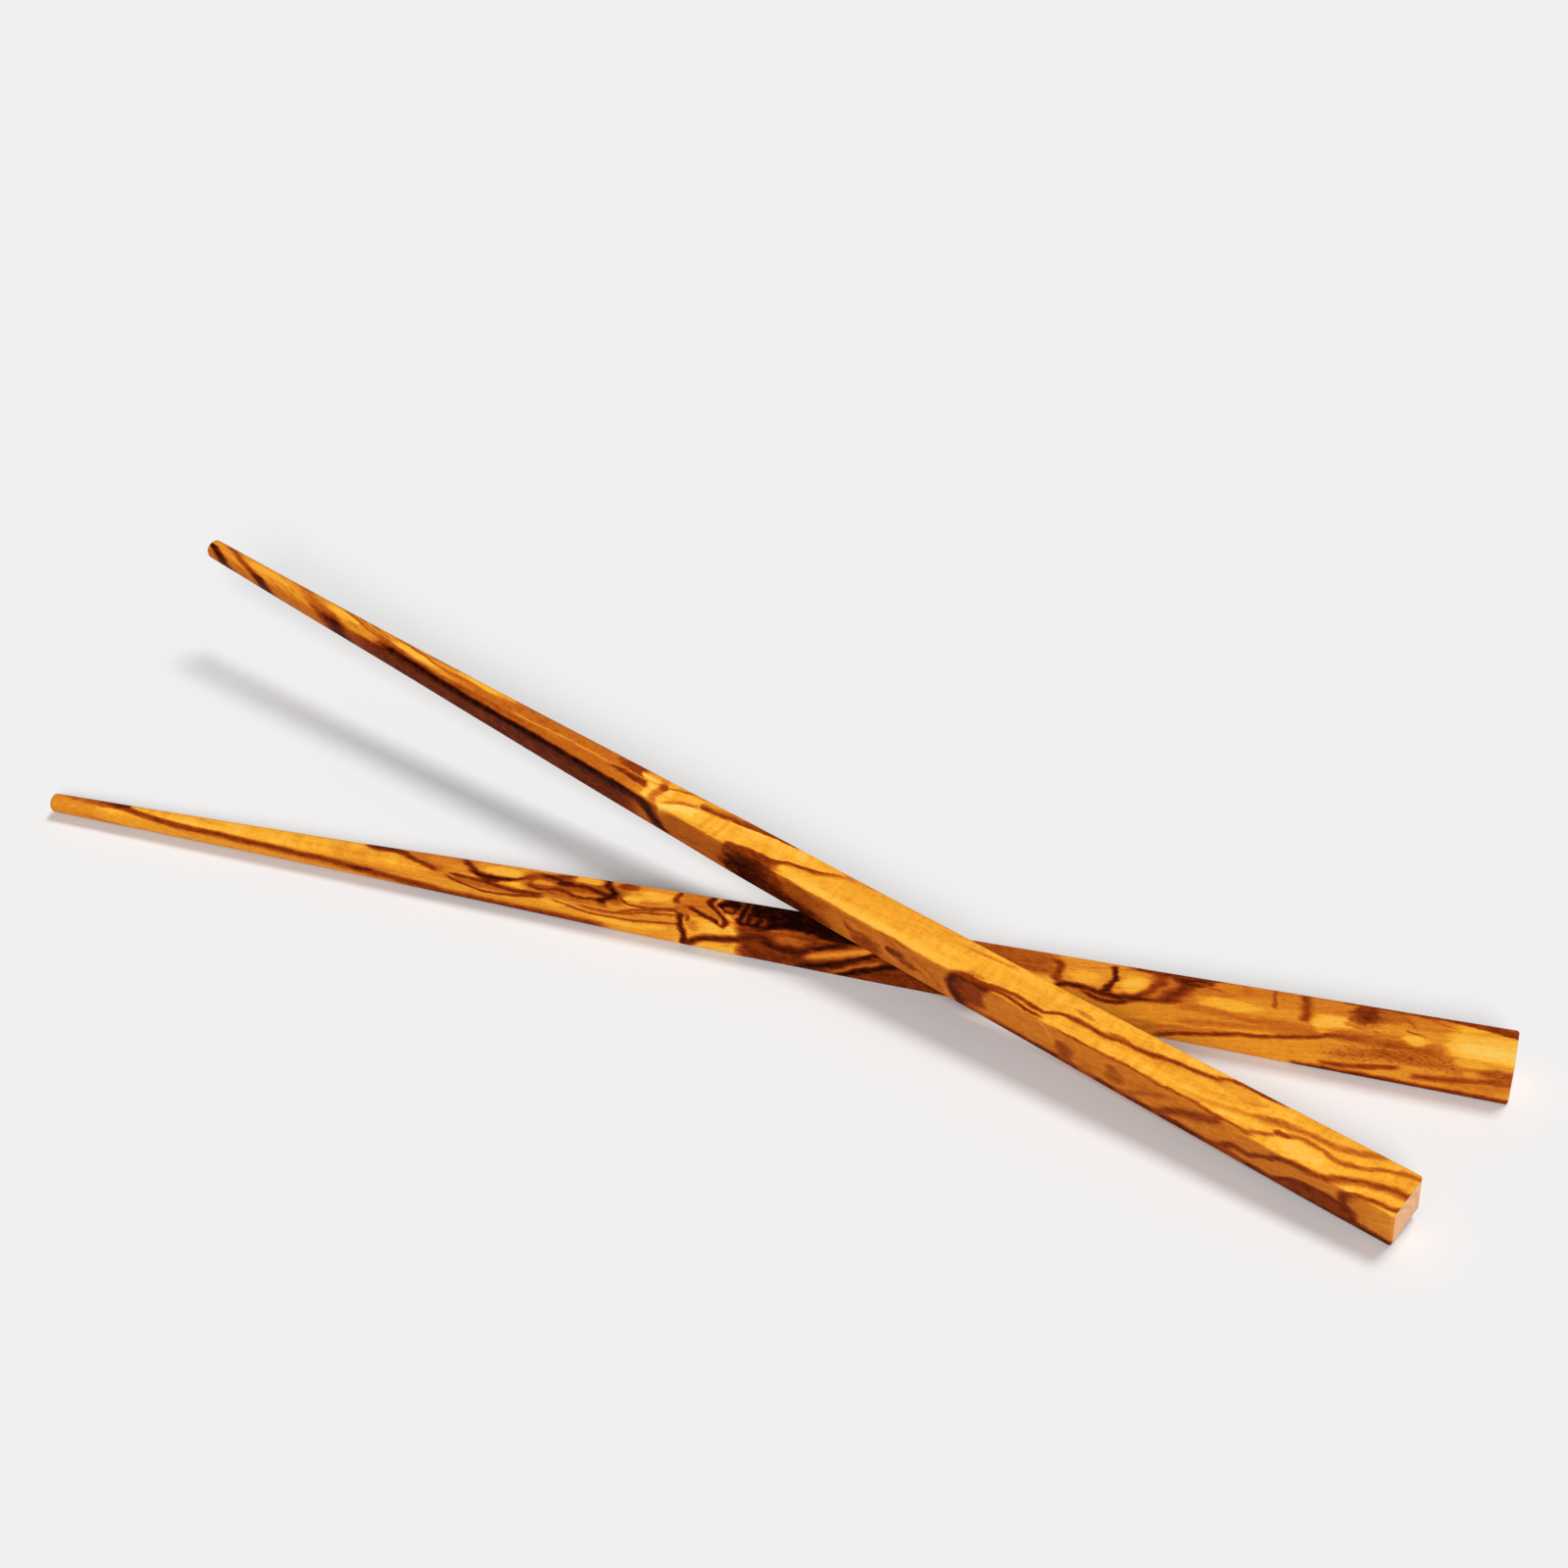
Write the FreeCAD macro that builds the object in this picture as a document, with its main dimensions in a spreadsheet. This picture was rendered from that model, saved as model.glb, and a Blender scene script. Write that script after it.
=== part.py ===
import FreeCAD
import Part
import Sketcher
import math
import os

# A matched pair of carved hardwood chopsticks, laid down crossed.
# Each stick is one piece of wood. Its handle is a square bar with a slow,
# straight taper and eased edges. Its blade thins faster and grows round
# towards a blunt tip.
# The lower stick lies flat on the underside of its handle. The upper stick
# leans across it: its underside rests along the lower stick's front top edge,
# and one corner of its butt stands on the table.

Vector = FreeCAD.Vector
Constraint = Sketcher.Constraint
os.makedirs("parts", exist_ok=True)
doc = FreeCAD.newDocument("chopsticks")

# Driving sizes, in millimetres and degrees
SIZES = {
    # Both sticks, from the tip to the butt
    "stick_length": 230.0,
    "handle_length": 115.0,
    "neck_from_tip": 50.0,
    # Width across the flats at the four sections that shape a stick
    "butt_width": 7.8,
    "middle_width": 6.0,
    "neck_width": 4.3,
    "tip_width": 3.3,
    # Flat band left in the middle of each face where the blade grows round
    "neck_flat": 2.1,
    "tip_flat": 0.5,
    # Rounding of the handle's edges, its rim at the butt included, and of the
    # tip's rim
    "edge_round": 0.45,
    "tip_round": 0.6,
    # Where the upper stick's butt corner stands on the table: out from the
    # lower stick's centre line, and short of the lower stick's butt
    "butt_spread": 35.7,
    "butt_stagger": 12.85,
    # Angle between the sticks, seen from above
    "crossing_angle": 21.9,
    # Gap between the two sticks where they meet
    "seat_clearance": 0.02,
}
sheet = doc.addObject("Spreadsheet::Sheet", "sizes")
for row, (word, value) in enumerate(SIZES.items(), start=1):
    sheet.set(f"A{row}", word)
    sheet.set(f"B{row}", str(value))
    sheet.setAlias(f"B{row}", word)
doc.recompute()

# The tip's rim is rounded off in this many narrow facets
RIM_FACETS = 2

# The least corner radius that is left where the rim's rounding runs out
LEAST_CORNER = 0.04

# Lengths shorter than this count as none
TOUCH = 1e-6

# Sketch terms: the points of an edge, and the sketch's own origin
START, END, CENTRE = 1, 2, 3
ORIGIN = -1


def size(word):
    """A driving size, read back from the sheet."""
    return float(sheet.get(word))


def value_now(formula):
    """What a formula on the sheet's sizes comes to."""
    return float(sheet.evalExpression(formula.replace("sizes.", "")))


def new_sketch(body, name, role):
    """An empty sketch on the body's own origin plane with that role."""
    sketch = body.newObject("Sketcher::SketchObject", name)
    plane = next(item for item in body.Origin.OriginFeatures if item.Role == role)
    sketch.AttachmentSupport = [(plane, "")]
    sketch.MapMode = "FlatFace"
    return sketch


def measure(sketch, rule, formula):
    """Adds a dimension to a sketch and binds it to a formula."""
    number = sketch.addConstraint(rule)
    sketch.setExpression(f"Constraints[{number}]", formula)


def straight_outline(body, name, role, corners):
    """A closed outline of straight lines; each corner is a pair of formulas."""
    sketch = new_sketch(body, name, role)
    points = [Vector(value_now(across), value_now(up), 0) for across, up in corners]
    count = len(points)
    for edge in range(count):
        sketch.addGeometry(Part.LineSegment(points[edge], points[(edge + 1) % count]), False)
    joins = [Constraint("Coincident", edge, END, (edge + 1) % count, START) for edge in range(count)]
    sketch.addConstraint(joins)
    for edge, (across, up) in enumerate(corners):
        measure(sketch, Constraint("DistanceX", ORIGIN, START, edge, START, points[edge].x), across)
        measure(sketch, Constraint("DistanceY", ORIGIN, START, edge, START, points[edge].y), up)
    return sketch


def quarter_turns(across, up, quarters):
    """A point of a section, turned about the section's centre by quarter turns."""
    for _ in range(quarters):
        across, up = -up, across
    return Vector(across, up, 0)


def section(body, name, station, width, corner):
    """A cross-section of the stick: a square with rounded corners.

    station, width and corner are formulas: the distance from the tip, the
    width across the flats and the radius of the corners.
    """
    sketch = new_sketch(body, name, "YZ_Plane")
    sketch.setExpression("AttachmentOffset.Base.z", station)
    half = value_now(width) / 2
    radius = value_now(corner)
    flat = half - radius
    for quarters in range(4):
        foot = quarter_turns(half, -flat, quarters)
        head = quarter_turns(half, flat, quarters)
        sketch.addGeometry(Part.LineSegment(foot, head), False)
        circle = Part.Circle(quarter_turns(flat, flat, quarters), Vector(0, 0, 1), radius)
        turn = math.radians(90 * quarters)
        sketch.addGeometry(Part.ArcOfCircle(circle, turn, turn + math.radians(90)), False)

    # The flats are edges 0, 2, 4 and 6, the arcs 1, 3, 5 and 7, and each edge
    # runs on smoothly into the next
    right, top, left, bottom = 0, 2, 4, 6
    arcs = (1, 3, 5, 7)
    rules = [Constraint("Tangent", edge, END, (edge + 1) % 8, START) for edge in range(8)]
    rules += [Constraint("Vertical", edge) for edge in (right, left)]
    rules += [Constraint("Horizontal", edge) for edge in (top, bottom)]
    rules += [Constraint("Equal", arcs[0], arc) for arc in arcs[1:]]
    rules += [Constraint("Equal", right, top)]
    rules += [Constraint("Symmetric", arcs[0], CENTRE, arcs[2], CENTRE, ORIGIN, START)]
    sketch.addConstraint(rules)
    measure(sketch, Constraint("DistanceX", left, START, right, END, 2 * half), width)
    measure(sketch, Constraint("Radius", arcs[0], radius), corner)
    return sketch


def tip_sections(body, label):
    """The sections that round the tip's rim off, from the end face inwards.

    They step down a quarter circle whose radius is the rounding: each one is
    the tip's full section, drawn in by its inset on every side.
    """
    sections = []
    for facet in range(RIM_FACETS + 1):
        turn = math.radians(90 * facet / RIM_FACETS)
        depth = f"{1 - math.cos(turn):.4f} * sizes.tip_round"
        inset = f"{1 - math.sin(turn):.4f} * sizes.tip_round"
        width = f"sizes.tip_width - 2 * {inset}"
        corner = f"max((sizes.tip_width - sizes.tip_flat) / 2 - {inset}; {LEAST_CORNER})"
        sections.append(section(body, f"{label}_tip_{facet}", depth, width, corner))
    return sections


def lies_at(shape, station):
    """Whether a face or an edge lies square to the stick at that distance from the tip."""
    box = shape.BoundBox
    return abs(box.XMin - station) < TOUCH and abs(box.XMax - station) < TOUCH


def carve_handle(body, label):
    """The handle: a bar tapered on all four sides, with its edges eased."""
    middle = "sizes.stick_length - sizes.handle_length"
    butt = "sizes.stick_length"
    half_middle = "sizes.middle_width / 2"
    half_butt = "sizes.butt_width / 2"

    # The bar has its taper from above and below, and is as thick as the butt
    side_view = straight_outline(
        body,
        f"{label}_side_view",
        "XZ_Plane",
        [
            (middle, f"-{half_middle}"),
            (butt, f"-{half_butt}"),
            (butt, half_butt),
            (middle, half_middle),
        ],
    )
    bar = body.newObject("PartDesign::Pad", f"{label}_bar")
    bar.Profile = side_view
    bar.setExpression("Length", "sizes.butt_width")
    bar.Midplane = True
    doc.recompute()

    # A wedge comes off its front and off its back
    for name, sign in (("front", "-"), ("back", "")):
        wedge = straight_outline(
            body,
            f"{label}_{name}_wedge",
            "XY_Plane",
            [
                (middle, f"{sign}{half_middle}"),
                (butt, f"{sign}{half_butt}"),
                (middle, f"{sign}{half_butt}"),
            ],
        )
        cut = body.newObject("PartDesign::Pocket", f"{label}_{name}_cut")
        cut.Profile = wedge
        cut.Type = "ThroughAll"
        cut.Midplane = True
        doc.recompute()
        if cut.Shape.Volume > bar.Shape.Volume - TOUCH:
            raise RuntimeError(f"{cut.Name} takes nothing off")
        bar = cut

    # The long edges and the butt's rim are eased together
    station = size("stick_length")
    sharp = [
        f"Edge{number}"
        for number, edge in enumerate(bar.Shape.Edges, start=1)
        if lies_at(edge, station) or edge.BoundBox.XLength > TOUCH
    ]
    handle = body.newObject("PartDesign::Fillet", f"{label}_handle")
    handle.Base = (bar, sharp)
    handle.setExpression("Radius", "sizes.edge_round")
    doc.recompute()
    return handle


def carve_stick(label):
    """One stick along +X, with the centre of its tip's end at the origin."""
    body = doc.addObject("PartDesign::Body", label)
    body.Label = label
    handle = carve_handle(body, label)
    neck = section(
        body,
        f"{label}_neck",
        "sizes.neck_from_tip",
        "sizes.neck_width",
        "(sizes.neck_width - sizes.neck_flat) / 2",
    )
    tip = tip_sections(body, label)
    doc.recompute()

    # The blade runs straight from the handle's end to the neck and the tip
    station = size("stick_length") - size("handle_length")
    faces = enumerate(handle.Shape.Faces, start=1)
    handle_end = next(f"Face{number}" for number, face in faces if lies_at(face, station))
    blade = body.newObject("PartDesign::AdditiveLoft", f"{label}_blade")
    blade.Profile = (handle, [handle_end])
    blade.Sections = [neck] + tip[::-1]
    blade.Ruled = True
    doc.recompute()
    return body


# The handle's taper: what its half width gains over each millimetre, and the
# angle between a face and the stick's centre line
taper = (size("butt_width") - size("middle_width")) / 2 / size("handle_length")
face_angle = math.atan(taper)


def half_width(station):
    """Half the handle's width across the flats, at a distance from the tip."""
    return size("butt_width") / 2 - taper * (size("stick_length") - station)


def edge_centre(station, side, face):
    """Centre of a handle edge's rounding, at a distance from the tip.

    side is 1 for the back and -1 for the front, face 1 for the top and -1 for
    the bottom.
    """
    inset = half_width(station) - size("edge_round") / math.cos(face_angle)
    return Vector(station, side * inset, face * inset)


def lay_flat():
    """Place of the stick that lies on the table on the underside of its handle."""
    level = FreeCAD.Rotation(Vector(0, 1, 0), -math.degrees(face_angle))
    return FreeCAD.Placement(Vector(0, 0, half_width(0) * math.cos(face_angle)), level)


def lean_across(flat_stick):
    """Place of the stick that leans across the one that lies flat.

    Its underside touches the flat stick's front top edge along a line, which
    sets how it rolls, and its front bottom butt corner stands on the table,
    which sets how it dips. Edge and corner are rounded with the same radius,
    so the work is done on the centres of their roundings.
    """
    length = size("stick_length")
    radius = size("edge_round")

    # The line through the centres of the front top edge's rounding
    line_start = flat_stick.multVec(edge_centre(length - size("handle_length"), -1, 1))
    line_end = flat_stick.multVec(edge_centre(length, -1, 1))
    line = (line_end - line_start).normalize()

    # The centre of the corner that stands on the table
    butt = flat_stick.multVec(Vector(length, 0, 0))
    stand = Vector(butt.x - size("butt_stagger"), -size("butt_spread"), radius)

    # The underside is level along that line. It lies one radius and the
    # clearance above it, and one radius below the standing corner's centre,
    # and its normal follows from those two heights.
    reach = stand - line_start
    reach = reach - line * reach.dot(line)
    outward = reach / reach.Length
    upward = line.cross(outward)
    if upward.z < 0:
        upward = -upward
    slope = (2 * radius + size("seat_clearance")) / reach.Length
    normal = outward * slope + upward * math.sqrt(1 - slope**2)

    # The stick points along its heading, dipping until its underside, which
    # stands off its centre line by the angle of the taper, has that normal
    turn = math.radians(size("crossing_angle"))
    heading = Vector(math.cos(turn), -math.sin(turn), 0)
    along = normal.dot(heading)
    dip = math.acos(math.sin(face_angle) / math.hypot(along, normal.z)) - math.atan2(normal.z, along)
    axis = heading * math.cos(dip) - Vector(0, 0, math.sin(dip))
    roof = (normal - axis * math.sin(face_angle)) / math.cos(face_angle)
    pose = FreeCAD.Rotation(axis, roof.cross(axis), roof, "XZY")
    corner = edge_centre(length - radius, -1, -1)
    return FreeCAD.Placement(stand - pose.multVec(corner), pose)


lower = carve_stick("lower_chopstick")
upper = carve_stick("upper_chopstick")
lower.Placement = lay_flat()
upper.Placement = lean_across(lower.Placement)
doc.recompute()

# The origin is on the table, in the middle of the pair's footprint
sticks = (lower, upper)
footprint = FreeCAD.BoundBox()
for stick in sticks:
    footprint.add(stick.Shape.optimalBoundingBox())
middle = Vector(footprint.Center.x, footprint.Center.y, 0)
for stick in sticks:
    stick.Placement = FreeCAD.Placement(stick.Placement.Base - middle, stick.Placement.Rotation)
doc.recompute()

for item in doc.Objects:
    if "Invalid" in item.State or "Error" in item.State:
        raise RuntimeError(f"{item.Name} did not recompute: {item.State}")
for stick in sticks:
    if stick.Shape.isNull() or not stick.Shape.isValid():
        raise RuntimeError(f"{stick.Label} has no valid shape")
for stick in sticks:
    stick.Shape.exportStep(f"parts/{stick.Label}.step")
    print(f"{stick.Label}: {stick.Shape.Volume:.1f} cubic millimetres")
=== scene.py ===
# %% [markdown]
# # A crossed pair of carved wooden chopsticks
# Each chopstick is one stick of a dense, oily hardwood: a square handle that
# tapers slowly, a blade that grows round towards a blunt tip, and a lively
# figure of dark veins in honey-gold wood. The imported model gives each stick's
# size and the way it lies. This lesson dresses it: a finely carved mesh for
# each stick, and a wood finish that is worked out from nodes alone.

# %% Tools and the imported model
import math

import bmesh
import bpy
import numpy as np
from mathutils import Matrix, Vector


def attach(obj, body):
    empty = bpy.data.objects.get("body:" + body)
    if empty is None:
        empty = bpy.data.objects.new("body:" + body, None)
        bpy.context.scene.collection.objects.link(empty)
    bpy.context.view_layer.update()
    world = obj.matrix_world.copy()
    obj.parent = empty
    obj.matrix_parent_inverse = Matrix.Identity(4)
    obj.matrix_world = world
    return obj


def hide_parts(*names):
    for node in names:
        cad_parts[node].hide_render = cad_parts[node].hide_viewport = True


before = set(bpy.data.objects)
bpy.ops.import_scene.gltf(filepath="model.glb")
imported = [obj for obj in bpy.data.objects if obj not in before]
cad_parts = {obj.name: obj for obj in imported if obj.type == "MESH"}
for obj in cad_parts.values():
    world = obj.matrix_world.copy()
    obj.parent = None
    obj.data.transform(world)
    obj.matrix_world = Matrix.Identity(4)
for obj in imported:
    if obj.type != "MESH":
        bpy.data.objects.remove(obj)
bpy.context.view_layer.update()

# %% [markdown]
# ## How each stick lies
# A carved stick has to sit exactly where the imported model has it, rolled and
# tilted as it rests. Its place could be typed in again, but it is safer to read
# it off the model: the flat face at the butt is square to the stick, so its
# normal is the stick's long axis, and the handle's top face gives the roll.
# `FLUSH`, `END_ON`, `SIDE_ON` and `UPWARD` say how nearly two directions have to
# agree, where 1 is the same direction and 0 is square to it.

# %% Reading a stick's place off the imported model
MM = 0.001
FLUSH = 0.99999
END_ON = 0.98
SIDE_ON = 0.1
UPWARD = 0.8


def largest(faces):
    """The largest of some faces, with every other one that lies flush with it."""
    first = max(faces, key=lambda face: face.area)
    return [face for face in faces if face.normal.dot(first.normal) > FLUSH]


def middle_of(faces):
    """The middle of some faces, weighed by their areas."""
    total = sum(face.area for face in faces)
    return sum((Vector(face.center) * face.area for face in faces), Vector()) / total


def read_lie(node):
    """A stick's tip, its long axis, its side and its upward direction."""
    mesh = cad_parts[node].data
    points = [vertex.co for vertex in mesh.vertices]
    rough = (max(points, key=lambda p: p.x) - min(points, key=lambda p: p.x)).normalized()
    butt = largest([face for face in mesh.polygons if face.normal.dot(rough) > END_ON])
    axis = butt[0].normal.copy()
    sides = [face for face in mesh.polygons if abs(face.normal.dot(axis)) < SIDE_ON]
    top = largest([face for face in sides if face.normal.z > UPWARD])
    up = (top[0].normal - axis * top[0].normal.dot(axis)).normalized()
    centre = middle_of(butt)
    length = max((centre - point).dot(axis) for point in points)
    return {
        "tip": centre - axis * length,
        "axis": axis,
        "side": up.cross(axis),
        "up": up,
        "length": length / MM,
    }


lies = {node: read_lie(node) for node in ("lower_chopstick", "upper_chopstick")}
for node, lie in lies.items():
    print(f"{node}: {lie['length']:.1f} mm long, tip {lie['tip'].z / MM:.1f} mm up")

# %% [markdown]
# ## The camera
# The camera comes before the finish, because every mark is judged through it.
# It stands in front of the pair and a little to the right, looks down at about
# 37 degrees, and its lens is long enough to keep the two sticks nearly free of
# perspective. The three angles and lengths below place it.

# %% The camera
LOOK_AT = Vector((-4.9, 32.05, 0.0)) * MM
CAMERA_AZIMUTH = math.radians(16.244)
CAMERA_ELEVATION = math.radians(37.29)
CAMERA_DISTANCE = 483.7 * MM
LENS = 68.38
NEAREST_SEEN = 10 * MM


def aim(thing, spot, target):
    """Puts a camera or a lamp at a spot and points it at a target."""
    thing.location = spot
    thing.rotation_euler = (target - spot).to_track_quat("-Z", "Y").to_euler()


def around(azimuth, elevation, distance):
    """A spot at a distance from the point looked at, azimuth 0 being the front."""
    flat = distance * math.cos(elevation)
    height = distance * math.sin(elevation)
    return LOOK_AT + Vector((flat * math.sin(azimuth), -flat * math.cos(azimuth), height))


scene = bpy.context.scene
camera = bpy.data.objects.new("camera", bpy.data.cameras.new("camera"))
camera.data.lens = LENS
camera.data.clip_start = NEAREST_SEEN
aim(camera, around(CAMERA_AZIMUTH, CAMERA_ELEVATION, CAMERA_DISTANCE), LOOK_AT)
scene.collection.objects.link(camera)
scene.camera = camera
print(f"camera at {tuple(round(c / MM) for c in camera.location)} mm")

# %% [markdown]
# ## Shader maths
# A wood finish is a long sum: layers, veins, fibres and pores. Wiring that by
# hand hides the sum, so one small class wraps a node's output and lets it be
# added, taken away and multiplied like a number. Each sign adds its own node.
# Any other node comes from the one method `node`, which takes the node's kind,
# its settings and then the values or links of its sockets.

# %% A class that wraps a socket
class Wire:
    """The output of a node, to be reckoned with as a number is."""

    def __init__(self, socket):
        self.socket = socket

    def node(self, kind, settings, sockets, output=0):
        """Adds a node to this wire's material. Its settings are set before its sockets."""
        tree = self.socket.node.id_data
        made = tree.nodes.new(kind)
        for word, value in settings.items():
            if word == "stops":
                set_stops(made.color_ramp, value)
            elif word == "points":
                set_points(made.mapping, value)
            else:
                setattr(made, word, value)
        for place, value in sockets.items():
            if isinstance(value, Wire):
                tree.links.new(value.socket, made.inputs[place])
            else:
                made.inputs[place].default_value = value
        return None if output is None else Wire(made.outputs[output])

    def maths(self, operation, *values):
        """A Math node that takes the given values."""
        return self.node("ShaderNodeMath", {"operation": operation}, dict(enumerate(values)))

    def __add__(self, other):
        return self.maths("ADD", self, other)

    __radd__ = __add__

    def __sub__(self, other):
        return self.maths("SUBTRACT", self, other)

    def __rsub__(self, other):
        return self.maths("SUBTRACT", other, self)

    def __mul__(self, other):
        return self.maths("MULTIPLY", self, other)

    __rmul__ = __mul__

    def clamp(self):
        """The value held between 0 and 1."""
        return self.node("ShaderNodeClamp", {}, {0: self})

    def rise(self, nothing, full):
        """0 at one value, 1 at the other, and a soft slope between the two."""
        settings = {"interpolation_type": "SMOOTHSTEP", "clamp": False}
        sockets = {0: self, 1: nothing, 2: full, 3: 0.0, 4: 1.0}
        return self.node("ShaderNodeMapRange", settings, sockets)

    def towards(self, target, share):
        """The value led a share of the way towards a target."""
        return self.node("ShaderNodeMix", {"data_type": "FLOAT"}, {0: share, 2: self, 3: target})

    def through(self, points):
        """What a smooth line through a few points reads at this value."""
        return self.node("ShaderNodeFloatCurve", {"points": points}, {0: 1.0, 1: self})


def set_points(mapping, points):
    """Lays a curve's points, each one a place along and a height."""
    mapping.use_clip = False
    line = mapping.curves[0].points
    for _ in points[2:]:
        line.new(0.5, 0.5)
    for spot, (x, y) in zip(line, points):
        spot.location = (x, y)
        spot.handle_type = "AUTO_CLAMPED"
    mapping.extend = "HORIZONTAL"
    mapping.update()


def set_stops(ramp, stops):
    """Sets a ramp's stops, each one a place and a colour."""
    while len(ramp.elements) < len(stops):
        ramp.elements.new(0.5)
    for element, (place, colour) in zip(ramp.elements, stops):
        element.position = place
        element.color = (*colour, 1.0)


# %% [markdown]
# ## Where a point is in the wood
# Grain runs through the whole stick, so the finish can't be wrapped on like
# paper. Every point of the mesh carries two marks instead. `grain` is its place
# in the wood, in millimetres: along from the tip, across, and up. `faces` is its
# place on the section, from -1 to 1 across and up, and whether it is end grain.
#
# The growth layers lie slanting in the section, from the back bottom edge up
# to the front top edge. `girth` counts them: it is 0 on the front top edge, 2
# on the back top edge and -2 on the front bottom edge, so one number runs over
# both faces that the eye sees, and a vein crosses the edge without a break. On
# the hidden back and underside the layers lean over, by `HIDDEN_LEAN`.

# %% The wires that say where a point is
HIDDEN_LEAN = -7.0
ALONG_SWAY = 0.5
ALONG_ROUGH = 0.08
GIRTH_SWAY = 0.08
GIRTH_ROUGH = 0.025
BLOT = 0.45


class Wood:
    """The wires that a wood finish starts from."""

    def __init__(self, material, drift):
        material.use_nodes = True
        tree = material.node_tree
        tree.nodes.clear()
        marks = tree.nodes.new("ShaderNodeAttribute")
        marks.attribute_name = "grain"
        self.place = Wire(marks.outputs["Vector"])
        self.along = self.letter(self.place, 0)
        faces = self.place.node("ShaderNodeAttribute", {"attribute_name": "faces"}, {}, "Vector")
        across = self.letter(faces, 0)
        up = self.letter(faces, 1)
        self.end = self.letter(faces, 2)
        self.girth = across + up
        self.depth = across - up
        self.bend()
        self.layer = self.girth - self.along.through(drift)

    def letter(self, vector, number):
        """One of the three values in a vector."""
        return vector.node("ShaderNodeSeparateXYZ", {}, {0: vector}, number)

    def noise(self, scales, detail=2.0, roughness=0.5, seed=0.0, place=None):
        """Noise from -1 to 1, with its own scale along, across and up, per millimetre."""
        stretched = self.place.node(
            "ShaderNodeVectorMath",
            {"operation": "MULTIPLY_ADD"},
            {0: place or self.place, 1: scales, 2: (seed, seed * 0.7, -seed)},
        )
        sockets = {"Vector": stretched, "Scale": 1.0, "Detail": detail, "Roughness": roughness}
        raw = self.place.node("ShaderNodeTexNoise", {}, sockets)
        return raw * 4.0 - 2.0

    def layers(self):
        """A place that counts layers instead of millimetres, so that noise follows the grain."""
        sockets = {0: self.along, 1: self.layer, 2: self.depth}
        return self.place.node("ShaderNodeCombineXYZ", {}, sockets)

    def bend(self):
        """Lets the layers wander a little, and lean on the two hidden faces."""
        hidden = self.depth.maths("MAXIMUM", self.depth, 0.0)
        rough = self.noise((1.7, 2.2, 2.2), seed=5.0)
        drawn = self.noise((0.35, 0.5, 0.5), seed=3.0)
        swollen = self.noise((0.2, 0.35, 0.35), detail=3.0, seed=8.0)
        self.along = self.along + hidden * HIDDEN_LEAN + drawn * ALONG_SWAY + rough * ALONG_ROUGH
        self.girth = self.girth + swollen * GIRTH_SWAY + rough * GIRTH_ROUGH
        self.blot = self.noise((0.45, 0.8, 0.8), detail=3.0, roughness=0.6, seed=15.0) * BLOT


# %% [markdown]
# ## Bands, veins, cracks, pores and stains
# Five kinds of mark make the figure. A band is a broad change of colour over
# part of the stick. A vein runs along the grain, its line drawn through a few
# points, and each of its sides has its own softness, because a real vein is
# often crisp on one side and fades on the other. A crack is a vein that runs
# across the grain, and pores are a vein broken up into specks. A stain is a
# soft, uneven oval. A picture of the figure could be laid on instead, but marks
# made from nodes stay sharp at any size. Each one leads the wood's tone towards
# its own: 0 is straw, 0.23 gold, 0.5 brown and 1 nearly black.

# %% The five marks
SOFT = 1.75
CORE = 0.15
STAIN_EDGE = 1.35
STAIN_CORE = 0.2
SPECKS = (1.5, 6.5, 6.5)


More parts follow.
